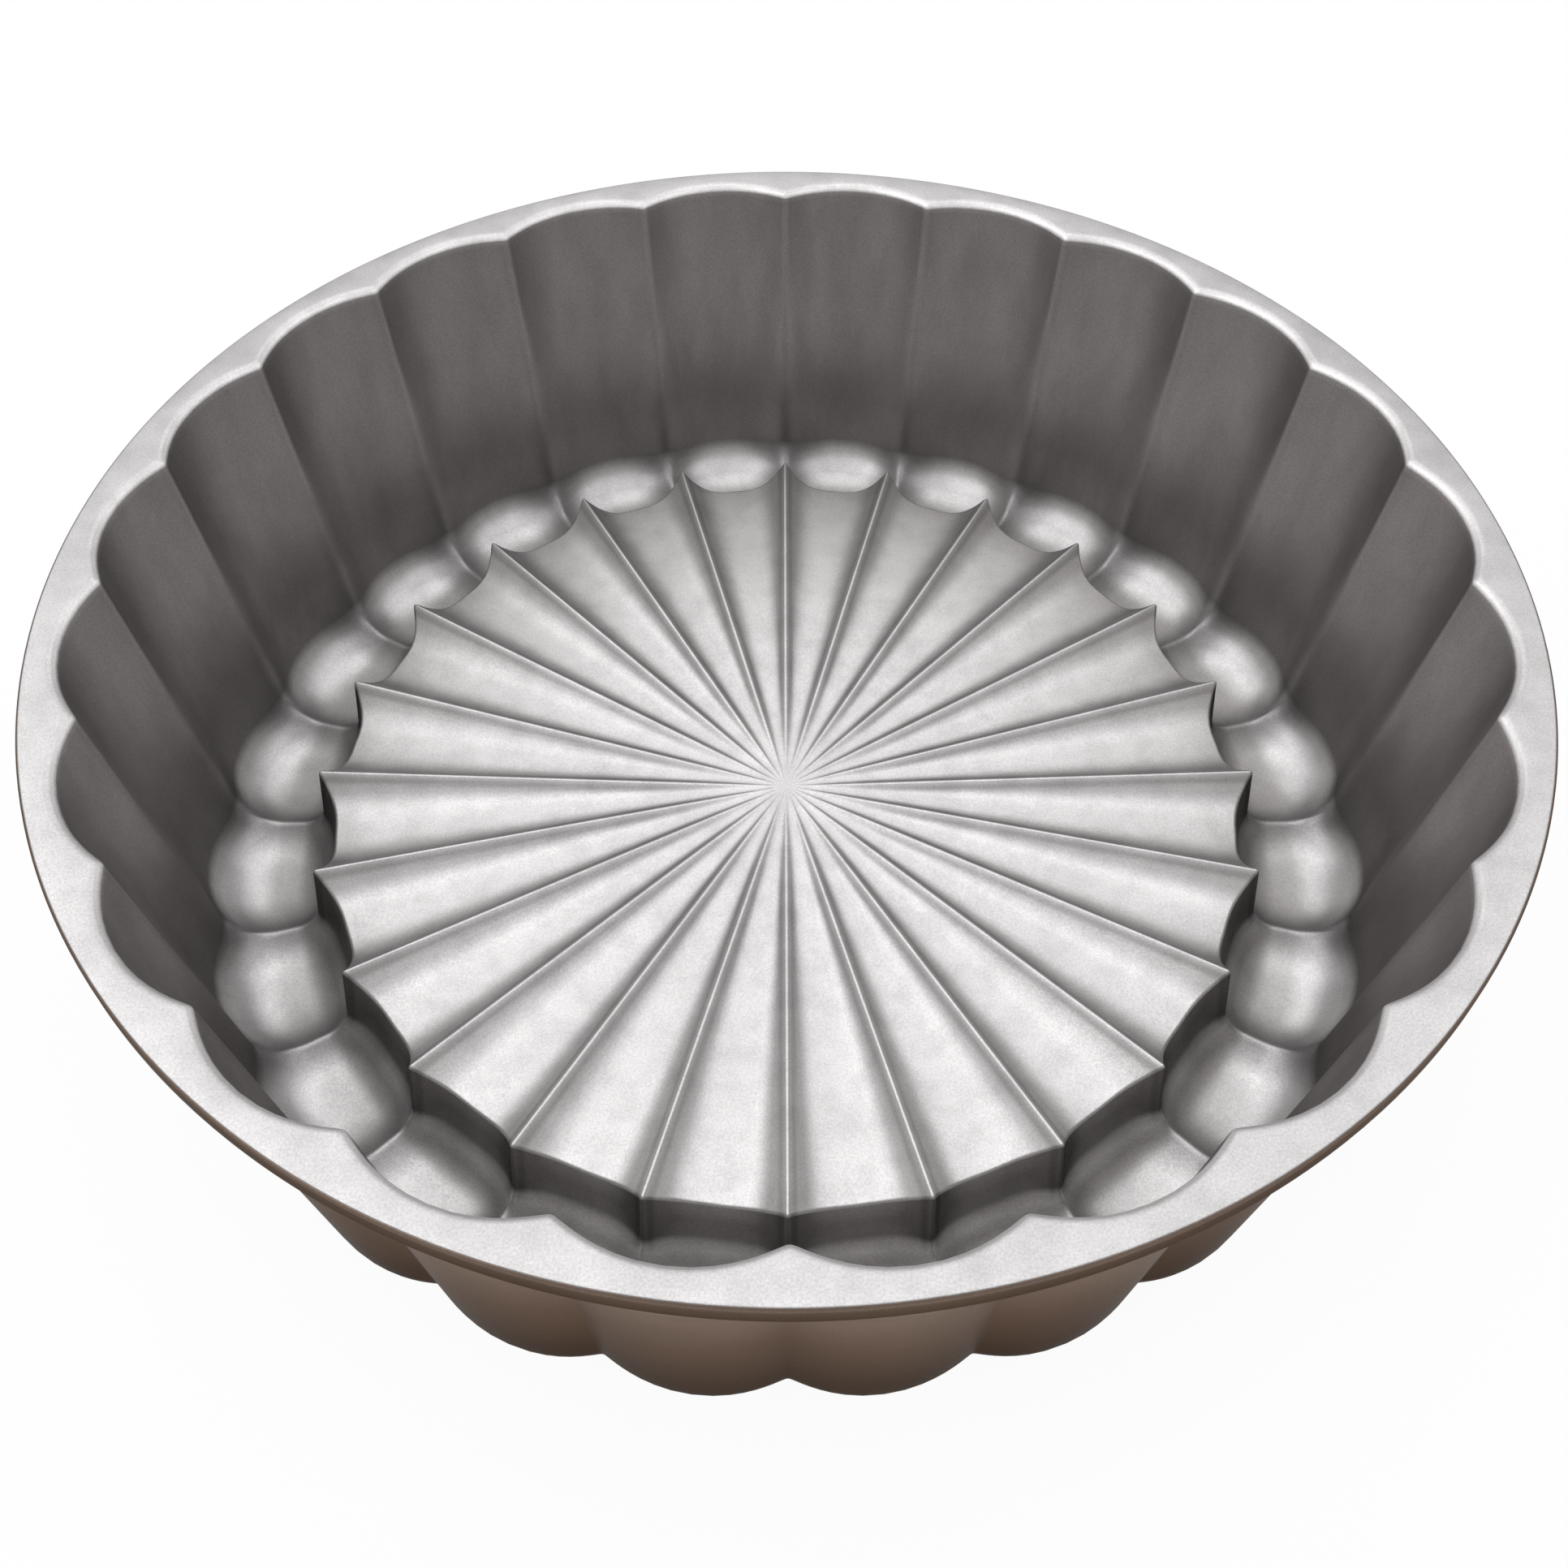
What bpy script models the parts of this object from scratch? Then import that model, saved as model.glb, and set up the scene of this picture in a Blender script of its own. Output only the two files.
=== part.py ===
"""Charlotte mould: a fluted cake mould cast in one piece.

Metres, +Z up, the origin at the middle of the base, on the plane that the feet stand on.
Looking down into it, a flat rim runs round a wall of 24 concave flutes. Each flute ends
in a round cup at the wall's foot, and the ring of cups goes round a raised disc, whose
24 channels and sharp crests line up with the flutes and the ridges between them.

One flute is lofted between its two ridges and the hollow in its middle, and copies of it,
turned about Z, close into the whole casting. Profiles are drawn in the (r, z) plane.
"""

import math

import bmesh
import bpy
from mathutils import Matrix, Vector

MM = 0.001

# The casting as a whole
FLUTES = 24
RIM_RADIUS = 128.0 * MM
OVERALL_HEIGHT = 76.5 * MM
WALL = 2.8 * MM            # thickness at the middle of a flute
RIDGE_WALL = 3.4 * MM      # thickness at a ridge, measured in its own radial plane

# The rim: a flat land, its outer edge, and the rounding into the fluted wall
LAND_WIDTH = 3.6 * MM      # at the middle of a flute, where the land is narrowest
LIP_ROUNDING = 1.8 * MM
RIM_EDGE_HEIGHT = 4.0 * MM
RIM_EDGE_CHAMFER = 0.6 * MM

# The fluted wall
FLUTE_DEPTH = 3.8 * MM     # from the ridges out to the middle of a flute
WALL_DRAFT = math.radians(6.1)

# The round neck under the rim, where the outside grooves run out
NECK_HEIGHT = 5.0 * MM
GROOVE_RUN_OUT = 10.0 * MM

# The trough round the disc: a cup in each flute, and a saddle at each ridge
TROUGH_WIDTH = 20.4 * MM   # at a ridge, from the wall to the tip of the disc's crest
CUP_WALL_FILLET = 11.6 * MM
CUP_DISC_FILLET = 9.0 * MM
SADDLE_RISE = 3.65 * MM    # how far the saddles stand above the cups' floors
SADDLE_WALL_FILLET = 9.0 * MM
SADDLE_DISC_FILLET = 5.0 * MM
LEAST_FLOOR = 0.5 * MM     # flat left between a trough's two fillets
FOOT_FLAT = 0.35 * MM      # ground off the lobes under the cups, to stand on

# The raised disc of crests and channels, heights above the base
CREST_TIP_HEIGHT = 23.1 * MM
CENTRE_HEIGHT = 18.5 * MM
HUB_RADIUS = 3.2 * MM
SCALLOP_CUT = 3.4 * MM     # how far the disc's edge draws in between two crest tips
SCALLOP_DROP = 5.2 * MM    # how far it drops there
DISC_SIDE_RUN = 1.8 * MM   # how far the disc's side spreads from its edge to its foot

# Smoothness of the surfaces
SEGMENTS_PER_FLUTE = 6
LIP_STEPS = 3
WALL_FILLET_STEPS = 4
DISC_FILLET_STEPS = 3
MERGE_DISTANCE = 0.02 * MM

# Finishes: base colour, metallic value and roughness
GREY_LINING = ((0.42, 0.41, 0.41, 1.0), 0.6, 0.45)
BRONZE_COAT = ((0.11, 0.075, 0.052, 1.0), 0.3, 0.4)

# Worked out from the sizes above
PITCH = 2 * math.pi / FLUTES
HOLLOW_MOUTH = RIM_RADIUS - LAND_WIDTH - LIP_ROUNDING
RIDGE_MOUTH = HOLLOW_MOUTH - FLUTE_DEPTH
MOUTH_HEIGHT = OVERALL_HEIGHT - LIP_ROUNDING
NECK_FOOT = OVERALL_HEIGHT - RIM_EDGE_HEIGHT - NECK_HEIGHT
CUP_FLOOR = WALL - FOOT_FLAT
SADDLE_FLOOR = CUP_FLOOR + SADDLE_RISE


def arc(centre, radius, start, end, steps):
    """Points on an arc, both ends included, with angles from +r towards +z."""
    points = []
    for step in range(steps + 1):
        angle = start + (end - start) * step / steps
        points.append(centre + radius * Vector((math.cos(angle), math.sin(angle))))
    return points


def offset(points, distance):
    """A profile moved into the metal, square to itself and mitred at its corners."""
    moved = []
    for index, point in enumerate(points):
        before = points[max(index - 1, 0)]
        after = points[min(index + 1, len(points) - 1)]
        arriving = point - before if index > 0 else after - point
        leaving = after - point if index < len(points) - 1 else arriving
        square = Vector((arriving.y, -arriving.x)).normalized()
        next_square = Vector((leaving.y, -leaving.x)).normalized()
        bisector = (square + next_square).normalized()
        moved.append(point + bisector * distance / bisector.dot(square))
    return moved


def wall_radius(mouth_radius, height):
    """Radius of the drafted wall at a height above the base."""
    return mouth_radius - (MOUTH_HEIGHT - height) * math.tan(WALL_DRAFT)


def trough(edge, mouth_radius, floor, wall_fillet, disc_fillet):
    """From the disc's edge down its side, along the trough and up into the wall."""
    wall_r = wall_radius(mouth_radius, floor + wall_fillet) - wall_fillet / math.cos(WALL_DRAFT)
    foot_r = edge.x + DISC_SIDE_RUN
    disc_fillet = min(disc_fillet, wall_r - foot_r - LEAST_FLOOR)
    wall_centre = Vector((wall_r, floor + wall_fillet))
    disc_centre = Vector((foot_r + disc_fillet, floor + disc_fillet))

    down = 1.5 * math.pi
    to_edge = edge - disc_centre
    touch = math.atan2(to_edge.y, to_edge.x) + math.acos(disc_fillet / to_edge.length)
    side = arc(disc_centre, disc_fillet, touch, down, DISC_FILLET_STEPS)
    rise = arc(wall_centre, wall_fillet, down, 2 * math.pi - WALL_DRAFT, WALL_FILLET_STEPS)
    return side + rise


def lip(mouth_radius):
    """The rounding from the fluted wall into the rim's land."""
    centre = Vector((mouth_radius + LIP_ROUNDING, MOUTH_HEIGHT))
    return arc(centre, LIP_ROUNDING, math.pi - WALL_DRAFT, 0.5 * math.pi, LIP_STEPS)


def rim_edge():
    """The rim's outer edge and the neck under it, which no flute reaches."""
    edge_foot = OVERALL_HEIGHT - RIM_EDGE_HEIGHT
    inset_radius = RIM_RADIUS - RIM_EDGE_CHAMFER
    neck_radius = HOLLOW_MOUTH + WALL
    return [
        Vector((inset_radius, OVERALL_HEIGHT)),
        Vector((RIM_RADIUS, OVERALL_HEIGHT - RIM_EDGE_CHAMFER)),
        Vector((RIM_RADIUS, edge_foot + RIM_EDGE_CHAMFER)),
        Vector((inset_radius, edge_foot)),
        Vector((neck_radius, edge_foot - RIM_EDGE_CHAMFER)),
        Vector((neck_radius, NECK_FOOT)),
    ]


def profile(edge, mouth_radius, trough_sizes, thickness):
    """Half of the casting's section: the upper skin outwards, then the lower skin back."""
    hub = Vector((HUB_RADIUS, CENTRE_HEIGHT))
    floor_and_sides = [hub, edge] + trough(edge, mouth_radius, *trough_sizes)
    upper = floor_and_sides + lip(mouth_radius)

    groove_top = NECK_FOOT - GROOVE_RUN_OUT
    outside_r = wall_radius(mouth_radius, groove_top) + thickness / math.cos(WALL_DRAFT)
    lower = offset(floor_and_sides, thickness) + [Vector((outside_r, groove_top))]
    return upper, lower[::-1]


def ridge_profile():
    """The section through a ridge of the wall and the crest in line with it."""
    tip_r = wall_radius(RIDGE_MOUTH, CREST_TIP_HEIGHT) - TROUGH_WIDTH
    tip = Vector((tip_r, CREST_TIP_HEIGHT))
    saddle = (SADDLE_FLOOR, SADDLE_WALL_FILLET, SADDLE_DISC_FILLET)
    return profile(tip, RIDGE_MOUTH, saddle, RIDGE_WALL)


def hollow_profile():
    """The section through the middle of a flute, its cup and its channel."""
    tip_r = wall_radius(RIDGE_MOUTH, CREST_TIP_HEIGHT) - TROUGH_WIDTH
    scallop = Vector((tip_r - SCALLOP_CUT, CREST_TIP_HEIGHT - SCALLOP_DROP))
    cup = (CUP_FLOOR, CUP_WALL_FILLET, CUP_DISC_FILLET)
    return profile(scallop, HOLLOW_MOUTH, cup, WALL)


def build_flute():
    """One flute from ridge to ridge, open at both sides, with its foot ground flat."""
    ridge_upper, ridge_lower = ridge_profile()
    hollow_upper, hollow_lower = hollow_profile()
    edge = rim_edge()
    ridge = ridge_upper + edge + ridge_lower
    hollow = hollow_upper + edge + hollow_lower

    mesh = bmesh.new()
    columns = []
    for column in range(SEGMENTS_PER_FLUTE + 1):
        across = 2 * column / SEGMENTS_PER_FLUTE - 1
        bulge = 1 - across ** 2
        turn = Matrix.Rotation(PITCH * (across + 1) / 2, 3, "Z")
        points = [a.lerp(b, bulge) for a, b in zip(ridge, hollow)]
        ground = [Vector((p.x, 0.0, max(p.y, 0.0))) for p in points]
        columns.append([mesh.verts.new(turn @ p) for p in ground])

    hub_top = mesh.verts.new((0.0, 0.0, columns[0][0].co.z))
    hub_bottom = mesh.verts.new((0.0, 0.0, columns[0][-1].co.z))
    for left, right in zip(columns, columns[1:]):
        mesh.faces.new((hub_top, left[0], right[0]))
        mesh.faces.new((hub_bottom, right[-1], left[-1])).material_index = 1
        for k in range(len(left) - 1):
            face = mesh.faces.new((left[k], left[k + 1], right[k + 1], right[k]))
            face.material_index = 0 if k < len(ridge_upper) else 1
    for face in mesh.faces:
        face.smooth = True

    data = bpy.data.meshes.new("mould_body")
    mesh.to_mesh(data)
    mesh.free()
    return data


def make_material(name, colour, metallic, roughness):
    """A plain finish."""
    material = bpy.data.materials.new(name)
    material.use_nodes = True
    shader = material.node_tree.nodes["Principled BSDF"]
    shader.inputs["Base Color"].default_value = colour
    shader.inputs["Metallic"].default_value = metallic
    shader.inputs["Roughness"].default_value = roughness
    return material


def make_body(collection):
    """The casting: one flute repeated round the axis and closed into one shell."""
    body = bpy.data.objects.new("mould_body", build_flute())
    body.data.materials.append(make_material("grey_lining", *GREY_LINING))
    body.data.materials.append(make_material("bronze_coat", *BRONZE_COAT))
    collection.objects.link(body)

    one_pitch = bpy.data.objects.new("one_pitch", None)
    one_pitch.rotation_euler = (0.0, 0.0, PITCH)
    collection.objects.link(one_pitch)

    ring = body.modifiers.new("flutes", "ARRAY")
    ring.count = FLUTES
    ring.use_relative_offset = False
    ring.use_object_offset = True
    ring.offset_object = one_pitch
    ring.use_merge_vertices = True
    ring.use_merge_vertices_cap = True
    ring.merge_threshold = MERGE_DISTANCE


def main():
    for item in list(bpy.data.objects):
        bpy.data.objects.remove(item)
    collection = bpy.data.collections.new("charlotte_mould")
    bpy.context.scene.collection.children.link(collection)
    make_body(collection)


main()
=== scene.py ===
"""Charlotte mould: the cast cake mould's looks, with its camera, floor and light.

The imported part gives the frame. Two closed pieces stand for its one casting: the metal
with its bronze-brown coat outside, and the grey non-stick lining laid over the inside
and the rim's land. Both come from the same sections as the part, with finer steps and
with the small roundings that the real casting has. Lengths are in millimetres until the
meshes are made.
"""

import math

import bpy
import numpy as np
from mathutils import Matrix, Vector
from mathutils.bvhtree import BVHTree


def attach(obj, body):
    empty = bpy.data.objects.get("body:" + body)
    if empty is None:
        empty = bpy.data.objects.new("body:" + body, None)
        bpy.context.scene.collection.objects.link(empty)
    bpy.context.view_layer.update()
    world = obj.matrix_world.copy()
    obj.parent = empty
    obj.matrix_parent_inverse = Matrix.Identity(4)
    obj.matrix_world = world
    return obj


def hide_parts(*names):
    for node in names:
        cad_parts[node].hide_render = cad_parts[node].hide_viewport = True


MM = 0.001

# The casting's sizes, as in the part
FLUTES = 24
RIM_RADIUS = 128.0
HEIGHT = 76.5
WALL = 2.8
RIDGE_WALL = 3.4
LAND_WIDTH = 3.6
LIP_ROUNDING = 1.8
RIM_EDGE_HEIGHT = 4.0
FLUTE_DEPTH = 3.8
DRAFT = math.tan(math.radians(6.1))
NECK_HEIGHT = 5.0
GROOVE_RUN_OUT = 10.0
TROUGH_WIDTH = 20.4
CUP_WALL_FILLET = 11.6
CUP_DISC_FILLET = 9.0
SADDLE_RISE = 3.65
SADDLE_WALL_FILLET = 9.0
SADDLE_DISC_FILLET = 5.0
FOOT_FLAT = 0.35
CREST_TIP_HEIGHT = 23.1
CENTRE_HEIGHT = 18.5
HUB_RADIUS = 3.2
SCALLOP_CUT = 3.4
SCALLOP_DROP = 5.2
DISC_SIDE_RUN = 1.8

# Worked out from those
HOLLOW_MOUTH = RIM_RADIUS - LAND_WIDTH - LIP_ROUNDING
RIDGE_MOUTH = HOLLOW_MOUTH - FLUTE_DEPTH
MOUTH_HEIGHT = HEIGHT - LIP_ROUNDING
RIM_FOOT = HEIGHT - RIM_EDGE_HEIGHT
GROOVE_TOP = RIM_FOOT - NECK_HEIGHT - GROOVE_RUN_OUT
CUP_FLOOR = WALL - FOOT_FLAT
SADDLE_FLOOR = CUP_FLOOR + SADDLE_RISE
HALF_PITCH = math.pi / FLUTES

# Small roundings of the real casting, which the part leaves out
DISC_EDGE_ROUNDING = 0.7
RIM_TOP_ROUNDING = 0.8
RIM_FOOT_ROUNDING = 0.6
NECK_FILLET = 1.0
NECK_DROP = 0.5            # how far the rim's underside falls towards the neck
UNDERSIDE_ROUNDING = 1.5
GROOVE_ROUNDING = 0.5      # at the bottom of the outside grooves

# The lining: its thickness, and the step of the rim's top rounding at which it ends
LINING = 0.08
RIM_TOP_STEPS = 6
LINING_END = 2

# Steps along the sections: over the disc, and where the outside grooves run out
DISC_STEPS = 14
RUN_OUT_STEPS = 9

# Columns across half a flute, from its ridge to its middle, and then across a whole one
ACROSS = [0, 0.012, 0.026, 0.045, 0.072, 0.11, 0.165, 0.24, 0.34, 0.46, 0.6, 0.78, 1.0]
FROM_RIDGE = np.array(ACROSS + ACROSS[-2:0:-1])

# Tables of (station, value), where stations count the rows of the inner skin from the hub.
# Power of the curve across a flute: 2 is a parabola, and more is flatter in the middle
INNER_POWER = [(0, 3.0), (42, 3.0), (50, 2.05)]
# The same outside, where stations count back from the last row, at the hub
OUTER_POWER = [(-34, 2.05), (-22, 2.3)]
# Rounding of the ridge between two flutes
RIDGE_ROUNDING = [(0, 0.5), (22, 0.5), (34, 0.6), (40, 1.2), (44, 3.0), (49, 3.0),
                  (52, 0.6), (69, 0.8)]
# Share of the depth by which the ridge stands proud of the curve, and how wide that is
RIDGE_BEAD = [(0, 0.05), (20, 0.05), (24, 0.0)]
BEAD_WIDTH = 0.7
# Strength of the painted shade in lines on both sides of the ridge, their place and their width
PAINTED_RIDGE_SHADE = [(1, 0.0), (4, 0.65), (40, 0.65), (44, 0.0), (50, 0.0), (52, 0.15), (56, 0.15),
          (58, 0.0)]
PAINTED_RIDGE_SHADE_PLACE = 1.1
PAINTED_RIDGE_SHADE_WIDTH = 0.5

# A cup's middle, kept clear of painted shade: how far it lies along the section from the hub,
# and how far it reaches towards the disc, towards the wall and aside
CUP_MIDDLE = 111.0
CUP_REACH = (9.5, 22.0, 12.0)
# The painted shade round it: the share of the reach where it begins, the share over which it
# deepens, and its strength by the distance along the section
CUP_SHADE_START = 0.6
CUP_SHADE_RUN = 0.55
CUP_SHADE = [(95.0, 0.0), (101.0, 0.6), (112.0, 0.6), (117.0, 1.0), (123.0, 1.0), (132.0, 0.0)]

# Rays cast from each point of the inside to see how open it is, and how far off the surface
# they start
SKY_RAYS = 192
SKY_START = 0.3

# Noises: features per metre, detail and roughness
LINING_GRAIN = (2600, 2.0, 0.6)
LINING_CLOUD = (90, 3.0, 0.5)
LINING_SMOKE = (170, 3.0, 0.55)
SMOKE_STRETCH = 3.0
COAT_GRAIN = (2200, 2.0, 0.6)
COAT_CLOUD = (60, 3.0, 0.5)

# Tables of (position, colour or brightness). The lining's colour, over the cloud
LINING_TONE = [(0.3, (0.93, 0.91, 0.91)), (0.7, (0.99, 0.97, 0.97))]
# It is multiplied by tones that go by the height of the surface's unit normal, a painted shade,
PAINTED_SLOPE_SHADE = [(0.0, (0.5, 0.475, 0.475)), (0.2, (0.44, 0.42, 0.42)), (0.4, (0.95, 0.94, 0.94)),
              (0.6, (1.0, 1.0, 1.0)), (0.8, (0.72, 0.72, 0.72)), (0.97, (0.84, 0.84, 0.84))]
# by height, for a painted highlight that makes the lip between the wall and the land paler, with
# its full gain,
PAINTED_LIP_HIGHLIGHT = [(74.0, 0.0), (75.0, 1.0), (76.2, 1.0), (76.45, 0.0)]
PAINTED_LIP_GAIN = 1.25
# by painted shade that goes by the share of the sky that the point sees,
PAINTED_HOLLOW_SHADE = [(0.04, 0.51), (0.1, 0.58), (0.2, 0.78), (0.3, 0.89), (0.4, 0.97), (0.5, 0.91),
               (0.65, 0.905), (0.8, 0.87), (0.98, 0.8)]
# by the smoke, by the painted shade of the lines beside the ridges and round the cups' middles,
# and by the grain
SMOKE_TONE = [(0.3, 0.88), (0.6, 1.0)]
PAINTED_SHADE_TONE = [(0.0, 1.0), (1.0, 0.52)]
LINING_FLAKES = [(0.32, 0.84), (0.68, 1.0)]

# The coat's colour by height, with painted shade: darker low down, and on the rim's edge, palest
# just under the rim
COAT_COLOUR_AND_SHADE = [(0.0, (0.075, 0.053, 0.04)), (18.0, (0.13, 0.091, 0.07)),
             (40.0, (0.235, 0.165, 0.128)), (64.0, (0.39, 0.3, 0.243)),
             (71.8, (0.4, 0.31, 0.25)), (72.6, (0.15, 0.108, 0.084)),
             (76.2, (0.2, 0.148, 0.118))]
COAT_CLOUD_TONE = [(0.3, 0.93), (0.7, 1.0)]
COAT_FLAKES = [(0.3, 0.9), (0.7, 1.0)]

# Gloss: roughness where the grain is low and where it is high, tint of the grazing
# reflection, and height of the grain
GRAIN_RANGE = (0.3, 0.7)
LINING_GLOSS = ((0.52, 0.44), 0.1, 0.02)
COAT_GLOSS = ((0.46, 0.38), 0.3, 0.015)

# The photograph's camera, fitted to the rim's cusps and the crest tips. The focal length is
# in pixels of the photograph, the sensor's side in millimetres, and the distance in radii of
# the rim, from its middle
PHOTO_SIDE = 1932
FOCAL = 1980.0
SENSOR = 36.0
DISTANCE = 2.186
ELEVATION = math.radians(44.57)
AIM_RIGHT = math.radians(-0.0727)
AIM_UP = math.radians(-7.289)
ROLL = math.radians(0.2652)
YAW = math.radians(0.3687)

# Floor and backdrop, in metres. The floor lies a hair under the feet, so that the two
# surfaces don't share a place
FLOOR_HEIGHT = -0.0001
FLOOR_RADIUS = 5.0
BACKDROP_BEND = 0.9
BEND_START = 0.1
BEND_STEPS = 12
FLOOR_SIDES = 96
FLOOR_COLOUR = (0.86, 0.86, 0.86, 1.0)
FLOOR_WHITE = 0.94         # share of plain white in what the eye sees of it

# Light: soft boxes by azimuth, elevation and the light that each gives a level white sheet,
# their distance and width in metres, and the brightness of the room
LAMPS = {
    "soft_box_above": (0, 90, 0.155),
    "soft_box_back": (90, 48, 0.08),
    "soft_box_back_left": (150, 48, 0.125),
    "soft_box_front_left": (210, 48, 0.125),
    "soft_box_front": (270, 48, 0.015),
    "soft_box_front_right": (330, 48, 0.062),
    "soft_box_back_right": (30, 48, 0.085),
}
LAMP_DISTANCE = 1.4
LAMP_WIDTH = 0.88
ROOM = 0.55


# Sections, drawn in the (r, z) plane

def meet(a, towards_a, b, towards_b):
    """The point where two lines cross, each given by a point and a direction."""
    sides = np.array([towards_a, -np.asarray(towards_b)]).T
    share = np.linalg.solve(sides, np.asarray(b) - np.asarray(a))
    return np.asarray(a) + share[0] * np.asarray(towards_a)


def tangent(point, centre, radius):
    """Direction from a point that grazes a circle, passing on its lower left."""
    to_centre = np.asarray(centre) - np.asarray(point)
    turn = math.asin(radius / np.hypot(*to_centre))
    angle = math.atan2(to_centre[1], to_centre[0]) - turn
    return np.array([math.cos(angle), math.sin(angle)])


def arc_at(corner, before, after, radius, steps):
    """The rounding of a corner, between the points before it and after it."""
    before = before - corner
    after = after - corner
    before /= np.hypot(*before)
    after /= np.hypot(*after)
    opening = math.acos(max(-1.0, min(1.0, before @ after)))
    middle = before + after
    middle /= np.hypot(*middle)
    centre = corner + middle * radius / math.sin(opening / 2)
    reach = radius / math.tan(opening / 2)
    first = corner + before * reach - centre
    last = corner + after * reach - centre
    start = math.atan2(first[1], first[0])
    turn = math.atan2(first[0] * last[1] - first[1] * last[0], first @ last)
    angles = [start + turn * step / steps for step in range(steps + 1)]
    return [centre + radius * np.array([math.cos(a), math.sin(a)]) for a in angles]


def rounded(corners):
    """A polyline through corners given as (point, rounding, arc steps, steps to the next)."""
    places = [np.asarray(corner[0], float) for corner in corners]
    arcs = []
    for index, (_, radius, steps, _) in enumerate(corners):
        if radius:
            arcs.append(arc_at(places[index], places[index - 1], places[index + 1],
                               radius, steps))
        else:
            arcs.append([places[index]])
    line = list(arcs[0])
    for (_, _, _, run), arc, following in zip(corners, arcs, arcs[1:]):
        straight = following[0] - arc[-1]
        line += [arc[-1] + straight * step / run for step in range(1, run)]
        line += following
    return np.array(line)


def wall_at(mouth, height):
    """Radius of the drafted wall at a height."""
    return mouth - (MOUTH_HEIGHT - height) * DRAFT


def skin_corners(edge, mouth, floor, disc_fillet):
    """Corners of the inner skin from the hub to the wall's top, before any rounding."""
    slope = math.hypot(1, DRAFT)
    disc_centre = (edge[0] + DISC_SIDE_RUN + disc_fillet, floor + disc_fillet)
    down = tangent(edge, disc_centre, disc_fillet)
    foot = meet(edge, down, (0, floor), (1, 0))
    wall_foot = meet((0, floor), (1, 0), (mouth, MOUTH_HEIGHT), (DRAFT / slope, 1 / slope))
    lip_corner = (wall_at(mouth, HEIGHT), HEIGHT)
    return [(HUB_RADIUS, CENTRE_HEIGHT), edge, foot, wall_foot, lip_corner]


def outwards(corners, distance):
    """The corners moved into the metal, so that each side keeps its direction."""
    corners = [np.asarray(c, float) for c in corners]
    lines = []
    for a, b in zip(corners, corners[1:]):
        along = (b - a) / np.hypot(*(b - a))
        lines.append((a + distance * np.array([along[1], -along[0]]), along))
    moved = [lines[0][0]]
    for (a, along_a), (b, along_b) in zip(lines, lines[1:]):
        moved.append(meet(a, along_a, b, along_b))
    return moved


def section(edge, mouth, floor, wall_fillet, disc_fillet, thickness):
    """Half of a section: the inner skin from the hub, and the outer one from the groove."""
    corners = skin_corners(edge, mouth, floor, disc_fillet)
    hub, edge, foot, wall_foot, lip_corner = corners
    inner = rounded([
        (hub, 0, 0, DISC_STEPS),
        (edge, DISC_EDGE_ROUNDING, 6, 2),
        (foot, disc_fillet, 10, 2),
        (wall_foot, wall_fillet, 12, 8),
        (lip_corner, LIP_ROUNDING, 8, 2),
        ((RIM_RADIUS, HEIGHT), RIM_TOP_ROUNDING, RIM_TOP_STEPS, 1),
        ((RIM_RADIUS, RIM_FOOT), 0, 0, 1),
    ])[:LINING_END - RIM_TOP_STEPS - 1]

    low_hub, low_edge, low_foot, low_wall = outwards(corners, thickness)
    groove_radius = wall_at(mouth, GROOVE_TOP) + thickness * math.hypot(1, DRAFT)
    outer = rounded([
        ((groove_radius, GROOVE_TOP), 0, 0, 6),
        (low_wall, wall_fillet + thickness, 14, 2),
        (low_foot, disc_fillet + thickness, 12, 2),
        (low_edge, UNDERSIDE_ROUNDING, 5, DISC_STEPS),
        (low_hub, 0, 0, 1),
    ])
    return inner, outer


def both_sections():
    """The section through a ridge and its crest, and the one through a flute's middle."""
    tip_radius = wall_at(RIDGE_MOUTH, CREST_TIP_HEIGHT) - TROUGH_WIDTH
    tip = (tip_radius, CREST_TIP_HEIGHT)
    scallop = (tip_radius - SCALLOP_CUT, CREST_TIP_HEIGHT - SCALLOP_DROP)
    ridge = section(tip, RIDGE_MOUTH, SADDLE_FLOOR, SADDLE_WALL_FILLET,
                    SADDLE_DISC_FILLET, RIDGE_WALL)
    hollow = section(scallop, HOLLOW_MOUTH, CUP_FLOOR, CUP_WALL_FILLET, CUP_DISC_FILLET, WALL)
    return ridge, hollow


def rim_side():
    """From the lining's end down the rim's edge and the neck, the same all round."""
    neck = HOLLOW_MOUTH + WALL
    return rounded([
        ((RIM_RADIUS - LAND_WIDTH, HEIGHT), 0, 0, 1),
        ((RIM_RADIUS, HEIGHT), RIM_TOP_ROUNDING, RIM_TOP_STEPS, 3),
        ((RIM_RADIUS, RIM_FOOT), RIM_FOOT_ROUNDING, 5, 1),
        ((neck, RIM_FOOT - NECK_DROP), NECK_FILLET, 5, 2),
        ((neck, RIM_FOOT - NECK_HEIGHT), 0, 0, 1),
    ])[LINING_END + 1:]


def outer_line(side, outer):
    """The rim's side, the run into the groove or lobe under it, and the outer skin."""
    down = np.linspace(0, 1, RUN_OUT_STEPS + 1)[1:-1, None]
    ease = down ** 2 * (3 - 2 * down)
    start, end = side[-1], outer[0]
    radius = start[0] + (end[0] - start[0]) * ease
    height = start[1] + (end[1] - start[1]) * down
    return np.vstack([side, np.hstack([radius, height]), outer])


# Surfaces, as grids of points: one row for each station of the section, one column round

def at_stations(count, table, first=0):
    """A table of (station, value) read at each of a number of stations."""
    return np.interp(np.arange(first, first + count), *zip(*table))


def half_widths(ridge, hollow):
    """From the ridge to the flute's middle at each station."""
    return 0.5 * (ridge[:, 0] + hollow[:, 0]) * HALF_PITCH


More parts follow.
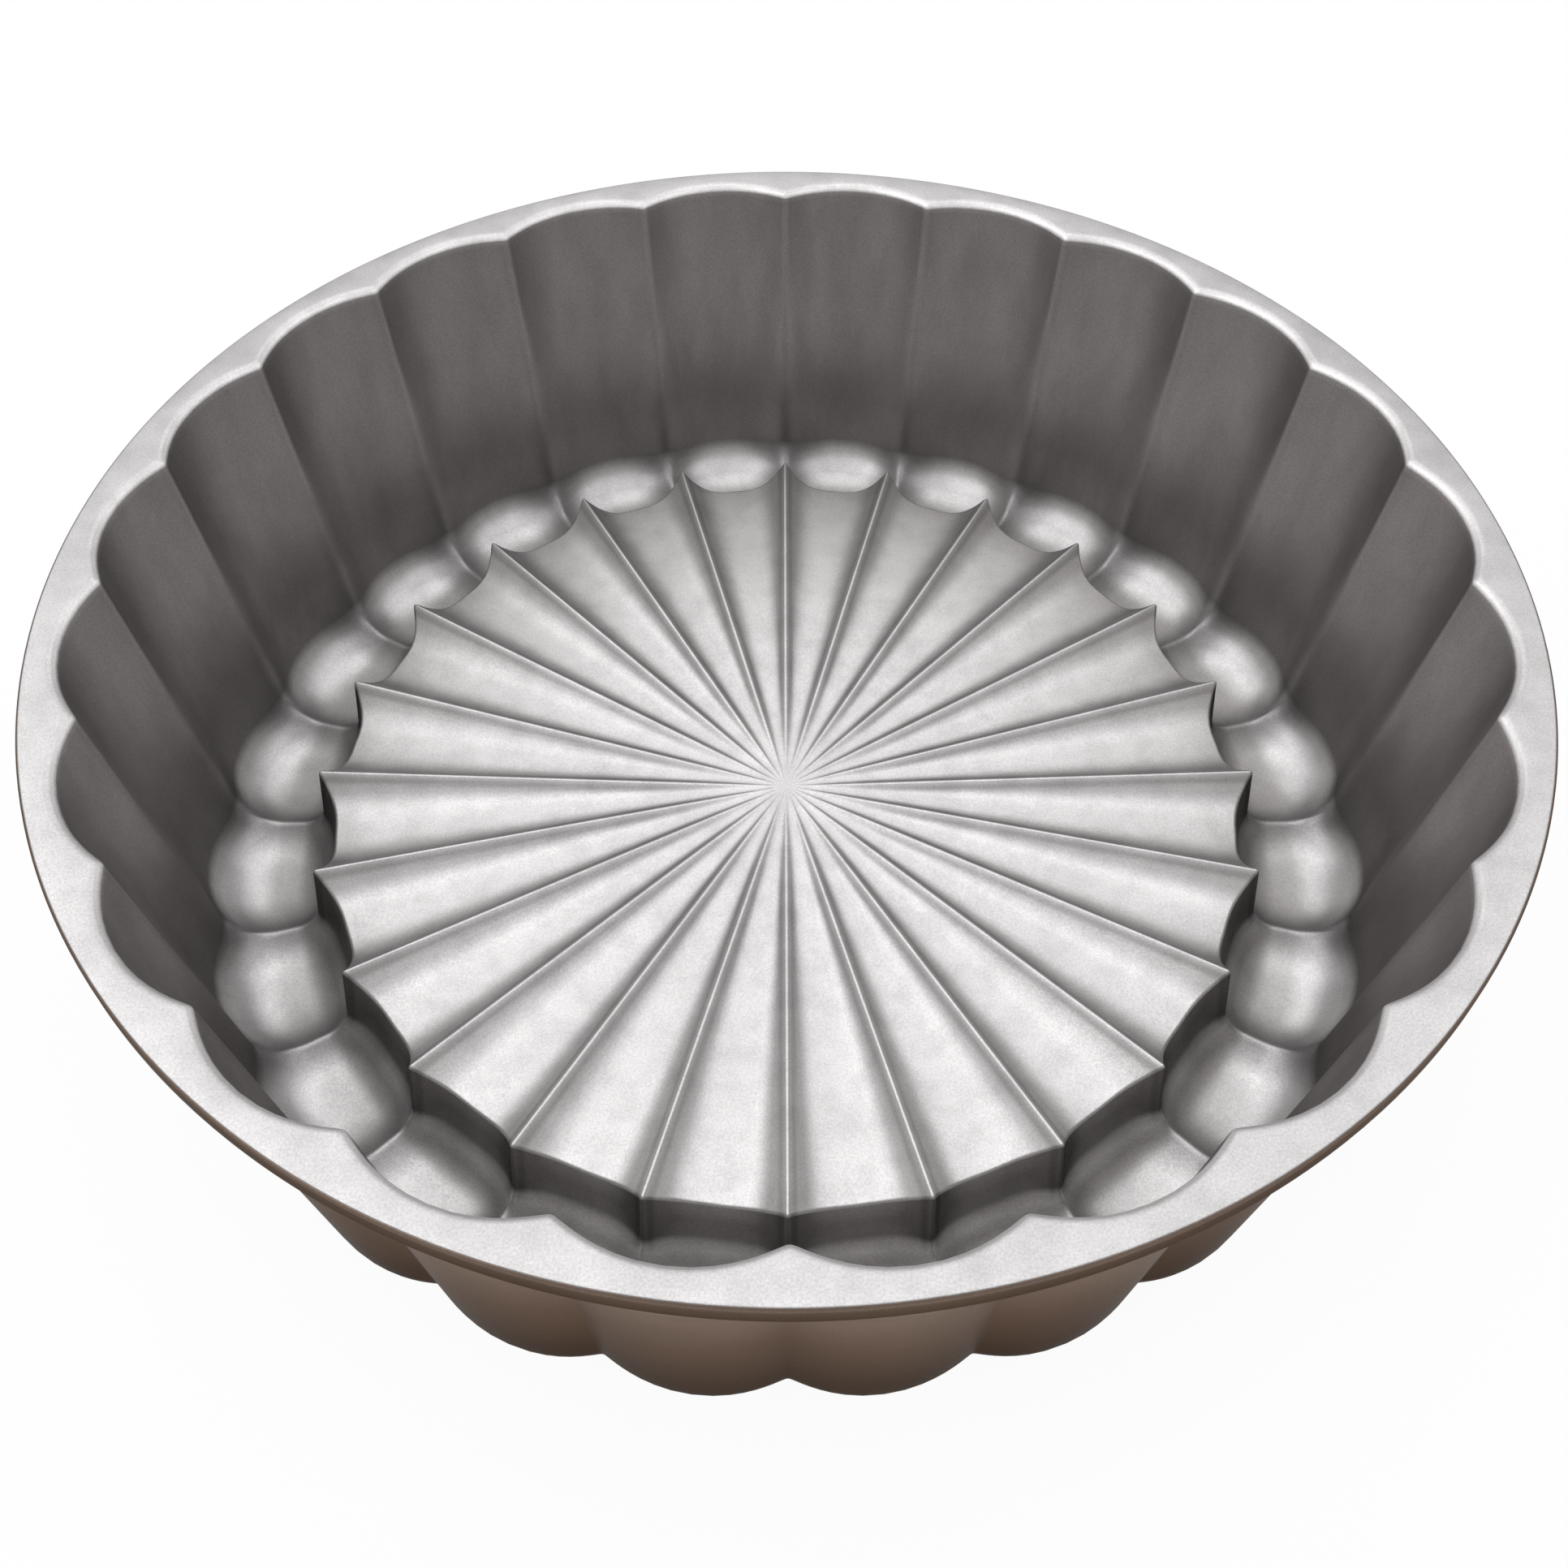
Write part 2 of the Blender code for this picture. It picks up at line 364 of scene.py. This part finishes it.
def hollowness(half_width, rounding, power, bead):
    """How far each column has gone from the ridge's section to the hollow's."""
    soft = rounding / half_width
    eased = (np.sqrt(FROM_RIDGE ** 2 + soft ** 2) - soft) / (math.sqrt(1 + soft ** 2) - soft)
    near = 1 - np.exp(-(FROM_RIDGE * half_width / BEAD_WIDTH) ** 2)
    return 1 - (1 - eased) ** power + bead * near * (1 - FROM_RIDGE)


def skin(ridge, hollow, rounding, power, bead):
    """All 24 flutes between the two sections, as points[station, column]."""
    widths = half_widths(ridge, hollow)
    share = np.array([hollowness(*sizes) for sizes in zip(widths, rounding, power, bead)])
    flute = ridge[:, None, :] + (hollow - ridge)[:, None, :] * share[:, :, None]
    flute = np.tile(flute, (1, FLUTES, 1))
    steps = list(np.diff(ACROSS))
    sweep = np.cumsum([0] + steps + steps[::-1])[:-1]
    angle = (np.arange(FLUTES)[:, None] * 2 + sweep[None, :]).ravel() * HALF_PITCH
    return np.stack([flute[..., 0] * np.cos(angle), flute[..., 0] * np.sin(angle),
                     flute[..., 1]], axis=-1)


def normals(grid):
    """Unit normals of the inner skin, towards the hollow."""
    along = np.gradient(grid, axis=0)
    round_axis = np.roll(grid, -1, axis=1) - np.roll(grid, 1, axis=1)
    across = np.cross(along, round_axis)
    return across / np.linalg.norm(across, axis=-1, keepdims=True)


def quads_between(rows, columns):
    """Point numbers of a grid that closes on itself round the axis, and its faces."""
    here = np.arange(rows * columns).reshape(rows, columns)
    beside = np.roll(here, -1, axis=1)
    quads = np.stack([here[:-1], here[1:], beside[1:], beside[:-1]], axis=-1)
    return here, beside, quads.reshape(-1, 4).tolist()


def sky_rays():
    """Directions spread over the sky above a level surface, the more the steeper, each
    turned from the last by the golden angle."""
    step = np.arange(SKY_RAYS) + 0.5
    height = np.sqrt(1 - step / SKY_RAYS)
    spread = np.sqrt(step / SKY_RAYS)
    turn = step * math.pi * (3 - math.sqrt(5))
    return np.stack([spread * np.cos(turn), spread * np.sin(turn), height], axis=-1)


def openness(inside, way):
    """How much sky each point of the inside sees, from 0 to 1, the same in every flute."""
    rows, columns = inside.shape[:2]
    quads = quads_between(rows, columns)[2]
    tree = BVHTree.FromPolygons(inside.reshape(-1, 3).tolist(), quads)
    rays = sky_rays()
    pitch = columns // FLUTES
    seen = np.zeros((rows, pitch))
    for row in range(rows):
        for column in range(pitch // 2 + 1):
            normal = way[row, column]
            # Any direction that isn't along the normal
            off_axis = (0.0, 0.0, 1.0) if abs(normal[2]) < 0.9 else (1.0, 0.0, 0.0)
            side = np.cross(normal, off_axis)
            side /= np.linalg.norm(side)
            aimed = rays @ np.array([side, np.cross(normal, side), normal])
            start = Vector(inside[row, column] + SKY_START * normal)
            free = sum(tree.ray_cast(start, Vector(ray))[0] is None for ray in aimed)
            seen[row, column] = seen[row, -column % pitch] = free / SKY_RAYS
    return np.tile(seen, (1, FLUTES))


def painted_shade_strength(ridge, hollow):
    """Strength of the painted shade in lines by the ridges and round the cups' middles."""
    widths = half_widths(ridge, hollow)[:, None]
    # Painted shade in lines beside the ridges
    line = np.exp(-((widths * FROM_RIDGE - PAINTED_RIDGE_SHADE_PLACE) / PAINTED_RIDGE_SHADE_WIDTH) ** 2)
    line *= at_stations(len(ridge), PAINTED_RIDGE_SHADE)[:, None]

    steps = np.hypot(*np.diff(hollow, axis=0).T)
    along = np.concatenate([[0.0], np.cumsum(steps)])[:, None]
    aside = widths * (1 - FROM_RIDGE)
    to_disc, to_wall, to_side = CUP_REACH
    reach = np.where(along < CUP_MIDDLE, to_disc, to_wall)
    out = np.hypot((along - CUP_MIDDLE) / reach, aside / to_side)
    # Painted shade round each cup's middle
    round_cup = np.clip((out - CUP_SHADE_START) / CUP_SHADE_RUN, 0, 1)
    round_cup *= np.interp(along, *zip(*CUP_SHADE))
    return np.tile(np.maximum(line, round_cup), (1, FLUTES))


# Pieces

def piece(name, loops, first_pole, last_pole, material):
    """A closed piece from rings of points, with a pole at each end."""
    rows, columns = loops.shape[:2]
    points = np.concatenate([loops.reshape(-1, 3), [first_pole], [last_pole]]) * MM
    here, beside, quads = quads_between(rows, columns)
    pole = rows * columns
    faces = [tuple(q) for q in quads]
    faces += [(pole, a, b) for a, b in zip(here[0].tolist(), beside[0].tolist())]
    faces += [(pole + 1, b, a) for a, b in zip(here[-1].tolist(), beside[-1].tolist())]
    mesh = bpy.data.meshes.new(name)
    mesh.from_pydata(points.tolist(), [], faces)
    mesh.validate()
    mesh.update()
    mesh.shade_smooth()
    mesh.materials.append(material)
    return link(name, mesh)


def link(name, data):
    """A new object in the scene."""
    made = bpy.data.objects.new(name, data)
    bpy.context.scene.collection.objects.link(made)
    return made


def write(lining, name, values):
    """Keeps the inside's values at the lining's points, on its face and on its back."""
    kept = np.concatenate([values, values[-2::-1]]).ravel().tolist()
    poles = [values[0].mean()] * 2
    attribute = lining.data.attributes.new(name, "FLOAT", "POINT")
    attribute.data.foreach_set("value", kept + poles)


def build_mould(lining_material, coat_material):
    """The lining and the casting under it, which meet at the rim's edge."""
    (ridge_in, ridge_out), (hollow_in, hollow_out) = both_sections()
    inside = skin(ridge_in, hollow_in, *(at_stations(len(ridge_in), table)
                                         for table in (RIDGE_ROUNDING, INNER_POWER, RIDGE_BEAD)))
    way = normals(inside)
    under = inside - way * LINING
    under[-1] = inside[-1]

    side = rim_side()
    ridge_line, hollow_line = outer_line(side, ridge_out), outer_line(side, hollow_out)
    count = len(ridge_line)
    outside = skin(ridge_line, hollow_line, np.full(count, GROOVE_ROUNDING),
                   at_stations(count, OUTER_POWER, -count), np.zeros(count))
    outside[..., 2] = np.maximum(outside[..., 2], 0.0)

    top_pole = (0, 0, inside[0, :, 2].mean())
    under_pole = (0, 0, top_pole[2] - LINING)
    bottom_pole = (0, 0, outside[-1, :, 2].mean())
    lining = piece("grey_lining", np.concatenate([inside, under[-2::-1]]), top_pole,
                   under_pole, lining_material)
    # The share of sky each point sees, which sets a painted shade
    write(lining, "openness", openness(inside, way))
    # Painted shade by the ridges and round the cups' middles
    write(lining, "painted_shade", painted_shade_strength(ridge_in, hollow_in))
    casting = piece("bronze_casting", np.concatenate([under[:-1], outside]), under_pole,
                    bottom_pole, coat_material)
    return lining, casting


# Finishes

def shader_of(name):
    """A new material, its node tree and its shader."""
    material = bpy.data.materials.new(name)
    material.use_nodes = True
    tree = material.node_tree
    return material, tree, tree.nodes["Principled BSDF"]


def add(tree, kind, **values):
    """A node with its inputs or settings set by name."""
    node = tree.nodes.new(kind)
    for key, value in values.items():
        if key in node.inputs:
            node.inputs[key].default_value = value
        else:
            setattr(node, key, value)
    return node


def noise(tree, coordinates, per_metre, detail, roughness):
    """A noise in the given coordinates."""
    node = add(tree, "ShaderNodeTexNoise", Scale=per_metre, Detail=detail, Roughness=roughness)
    tree.links.new(coordinates, node.inputs["Vector"])
    return node.outputs["Fac"]


def ramp(tree, source, stops):
    """A colour ramp with (position, colour) stops."""
    node = tree.nodes.new("ShaderNodeValToRGB")
    elements = node.color_ramp.elements
    while len(elements) < len(stops):
        elements.new(0.5)
    for element, (position, colour) in zip(elements, stops):
        element.position = position
        element.color = (*colour, 1.0)
    tree.links.new(source, node.inputs["Fac"])
    return node.outputs["Color"]


def grey_ramp(tree, source, stops):
    """A colour ramp with (position, brightness) stops."""
    return ramp(tree, source, [(position, (value,) * 3) for position, value in stops])


def span(tree, source, low, high, to_low, to_high):
    """A value carried over from one range to another, and held at its ends."""
    node = tree.nodes.new("ShaderNodeMapRange")
    ends = {"From Min": low, "From Max": high, "To Min": to_low, "To Max": to_high}
    for key, value in ends.items():
        node.inputs[key].default_value = value
    tree.links.new(source, node.inputs["Value"])
    return node.outputs["Result"]


def multiply(tree, first, *others):
    """Colours multiplied together."""
    for other in others:
        node = add(tree, "ShaderNodeMix", data_type="RGBA", blend_type="MULTIPLY")
        # Inputs 0, 6 and 7 are the share and the two colours, and output 2 is the colour
        node.inputs[0].default_value = 1.0
        tree.links.new(first, node.inputs[6])
        tree.links.new(other, node.inputs[7])
        first = node.outputs[2]
    return first


def height_of(tree, direction):
    """The Z part of the surface's normal, or of its place in the object."""
    parts = tree.nodes.new("ShaderNodeSeparateXYZ")
    tree.links.new(tree.nodes.new("ShaderNodeTexCoord").outputs[direction], parts.inputs[0])
    return parts.outputs["Z"]


def by_height(tree, stops, low, high):
    """A ramp's input and stops for a table that goes by height, between two heights."""
    up = span(tree, height_of(tree, "Object"), low * MM, high * MM, 0.0, 1.0)
    return up, [((height - low) / (high - low), value) for height, value in stops]


def stretched(tree, coordinates, along_z):
    """Coordinates in which a noise comes out longer along Z."""
    node = add(tree, "ShaderNodeMapping", Scale=(1.0, 1.0, 1.0 / along_z))
    tree.links.new(coordinates, node.inputs["Vector"])
    return node.outputs["Vector"]


def kept_value(tree, name):
    """A value kept at the mesh's points."""
    return add(tree, "ShaderNodeAttribute", attribute_name=name).outputs["Fac"]


def satin_metal(tree, shader, tone, grain, roughness, edge, relief):
    """Gives the shader its colour, and the grain's gloss and relief."""
    tree.links.new(tone, shader.inputs["Base Color"])
    tree.links.new(span(tree, grain, *GRAIN_RANGE, *roughness), shader.inputs["Roughness"])
    shader.inputs["Metallic"].default_value = 1.0
    shader.inputs["Specular Tint"].default_value = (edge, edge, edge, 1.0)
    bump = add(tree, "ShaderNodeBump", Strength=1.0, Distance=relief * MM)
    tree.links.new(grain, bump.inputs["Height"])
    tree.links.new(bump.outputs["Normal"], shader.inputs["Normal"])


def grey_lining():
    """Silver-grey non-stick lining: a fine metallic grain, satin, with soft smoky marks down the
    wall.
    Painted shade darkens it on steep faces, in the narrow hollows, beside the ridges and round
    the cups' middles, and a painted highlight makes the lip paler."""
    material, tree, shader = shader_of("grey_lining")
    where = tree.nodes.new("ShaderNodeTexCoord").outputs["Object"]
    grain = noise(tree, where, *LINING_GRAIN)
    cloud = noise(tree, where, *LINING_CLOUD)
    smoke = noise(tree, stretched(tree, where, SMOKE_STRETCH), *LINING_SMOKE)
    # Painted highlight: a paler lip, by height
    lip_highlight = grey_ramp(tree, *by_height(tree, PAINTED_LIP_HIGHLIGHT, PAINTED_LIP_HIGHLIGHT[0][0], PAINTED_LIP_HIGHLIGHT[-1][0]))
    tone = multiply(
        tree,
        ramp(tree, cloud, LINING_TONE),
        # Painted shade by the normal's height: darkest on steep faces, darker also on faces
        # tilted some 35 degrees and on level ones
        ramp(tree, height_of(tree, "Normal"), PAINTED_SLOPE_SHADE),
        # Painted highlight on the lip
        span(tree, lip_highlight, 0.0, 1.0, 1.0, PAINTED_LIP_GAIN),
        # Painted shade by how much sky the point sees, darkest in the narrow hollows
        grey_ramp(tree, kept_value(tree, "openness"), PAINTED_HOLLOW_SHADE),
        grey_ramp(tree, smoke, SMOKE_TONE),
        # Painted shade: dark lines beside the ridges and round the cups' middles
        grey_ramp(tree, kept_value(tree, "painted_shade"), PAINTED_SHADE_TONE),
        grey_ramp(tree, grain, LINING_FLAKES))
    satin_metal(tree, shader, tone, grain, *LINING_GLOSS)
    return material


def bronze_coat():
    """Satin bronze-brown coat of the outside, with painted shade by height: greyer and paler
    near the rim, darker low down and on the rim's edge.
    """
    material, tree, shader = shader_of("bronze_coat")
    where = tree.nodes.new("ShaderNodeTexCoord").outputs["Object"]
    grain = noise(tree, where, *COAT_GRAIN)
    cloud = noise(tree, where, *COAT_CLOUD)
    tone = multiply(
        tree,
        # The bronze colour, with painted shade by height
        ramp(tree, *by_height(tree, COAT_COLOUR_AND_SHADE, 0.0, HEIGHT)),
        grey_ramp(tree, cloud, COAT_CLOUD_TONE),
        grey_ramp(tree, grain, COAT_FLAKES))
    satin_metal(tree, shader, tone, grain, *COAT_GLOSS)
    return material


# Camera, floor and light

def turned(first, second, angle):
    """Two directions turned in their own plane, the first towards the second."""
    return (first * math.cos(angle) + second * math.sin(angle),
            second * math.cos(angle) - first * math.sin(angle))


def make_camera():
    """The photograph's camera: in front of the mould, aimed, rolled and turned about Z."""
    back = Vector((0, -math.cos(ELEVATION), math.sin(ELEVATION)))
    right = Vector((1, 0, 0))
    up = back.cross(right)
    eye = back * DISTANCE * (RIM_RADIUS * MM) + Vector((0, 0, HEIGHT * MM))
    up, back = turned(up, back, AIM_UP)
    right, back = turned(right, back, AIM_RIGHT)
    right, up = turned(right, up, ROLL)
    turn = Matrix((right, up, back)).transposed().to_4x4()
    data = bpy.data.cameras.new("camera")
    data.sensor_width = SENSOR
    data.lens = FOCAL / PHOTO_SIDE * SENSOR
    camera = link("camera", data)
    camera.matrix_world = Matrix.Rotation(-YAW, 4, "Z") @ Matrix.Translation(eye) @ turn
    bpy.context.scene.camera = camera


def white_seen(tree, lit):
    """Shows white to the eye and in reflections, with part of the lit surface's shadow."""
    path = tree.nodes.new("ShaderNodeLightPath")
    seen = path.outputs["Is Camera Ray"]
    for name in ("Is Glossy Ray", "Is Transmission Ray"):
        most = add(tree, "ShaderNodeMath", operation="MAXIMUM")
        tree.links.new(seen, most.inputs[0])
        tree.links.new(path.outputs[name], most.inputs[1])
        seen = most.outputs[0]
    share = add(tree, "ShaderNodeMath", operation="MULTIPLY")
    tree.links.new(seen, share.inputs[0])
    share.inputs[1].default_value = FLOOR_WHITE
    white = add(tree, "ShaderNodeEmission", Strength=1.0)
    mix = tree.nodes.new("ShaderNodeMixShader")
    tree.links.new(share.outputs[0], mix.inputs["Fac"])
    tree.links.new(lit, mix.inputs[1])
    tree.links.new(white.outputs[0], mix.inputs[2])
    return mix.outputs[0]


def pale_floor():
    """Plain pale material of the floor and backdrop."""
    material = bpy.data.materials.new("pale_floor")
    material.use_nodes = True
    tree = material.node_tree
    tree.nodes.clear()
    diffuse = add(tree, "ShaderNodeBsdfDiffuse", Color=FLOOR_COLOUR)
    out = tree.nodes.new("ShaderNodeOutputMaterial")
    tree.links.new(white_seen(tree, diffuse.outputs[0]), out.inputs["Surface"])
    return material


def make_floor():
    """A plain pale floor that rises far away into a plain pale backdrop."""
    rings = [(FLOOR_RADIUS, FLOOR_HEIGHT)]
    rings += [(FLOOR_RADIUS + BACKDROP_BEND * math.sin(a),
               BACKDROP_BEND - BACKDROP_BEND * math.cos(a))
              for a in np.linspace(BEND_START, math.pi / 2, BEND_STEPS)]
    turns = [2 * math.pi * k / FLOOR_SIDES for k in range(FLOOR_SIDES)]
    points = [(0.0, 0.0, FLOOR_HEIGHT)]
    for r, z in rings:
        points += [(r * math.cos(turn), r * math.sin(turn), z) for turn in turns]
    sides = [(1 + k, 1 + (k + 1) % FLOOR_SIDES) for k in range(FLOOR_SIDES)]
    faces = [(0, a, b) for a, b in sides]
    for row in range(len(rings) - 1):
        inner, outer = row * FLOOR_SIDES, (row + 1) * FLOOR_SIDES
        faces += [(a + inner, a + outer, b + outer, b + inner) for a, b in sides]
    mesh = bpy.data.meshes.new("floor")
    mesh.from_pydata(points, [], faces)
    mesh.shade_smooth()
    mesh.materials.append(pale_floor())
    link("floor", mesh)


def soft_box(name, azimuth, elevation, level):
    """A round soft box turned to the mould, at the power that gives a level sheet its light."""
    azimuth, elevation = math.radians(azimuth), math.radians(elevation)
    data = bpy.data.lights.new(name, "AREA")
    data.shape = "DISK"
    data.size = LAMP_WIDTH
    spread = LAMP_DISTANCE ** 2 + (LAMP_WIDTH / 2) ** 2
    data.energy = level * math.pi ** 2 * spread / math.sin(elevation)
    lamp = link(name, data)
    lamp.location = LAMP_DISTANCE * Vector((math.cos(elevation) * math.cos(azimuth),
                                            math.cos(elevation) * math.sin(azimuth),
                                            math.sin(elevation)))
    lamp.rotation_mode = "QUATERNION"
    lamp.rotation_quaternion = lamp.location.to_track_quat("Z", "Y")


def make_light():
    """One soft box above and six in a ring round the mould, in a dim room."""
    for name, place_and_level in LAMPS.items():
        soft_box(name, *place_and_level)
    world = bpy.data.worlds.new("room")
    world.use_nodes = True
    background = world.node_tree.nodes["Background"]
    background.inputs["Color"].default_value = (ROOM, ROOM, ROOM, 1.0)
    bpy.context.scene.world = world


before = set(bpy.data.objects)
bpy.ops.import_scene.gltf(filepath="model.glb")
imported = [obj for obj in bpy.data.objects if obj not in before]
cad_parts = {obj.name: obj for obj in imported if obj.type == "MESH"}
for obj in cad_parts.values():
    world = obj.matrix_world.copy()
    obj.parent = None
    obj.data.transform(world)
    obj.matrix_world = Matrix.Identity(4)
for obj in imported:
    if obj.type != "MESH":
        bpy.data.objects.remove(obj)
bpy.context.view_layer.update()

lining, casting = build_mould(grey_lining(), bronze_coat())
for made, slot_name in ((lining, "grey_lining"), (casting, "bronze_coat")):
    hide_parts("mould_body")
    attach(made, "root")

make_camera()
make_floor()
make_light()
bpy.context.scene.view_settings.view_transform = "Standard"
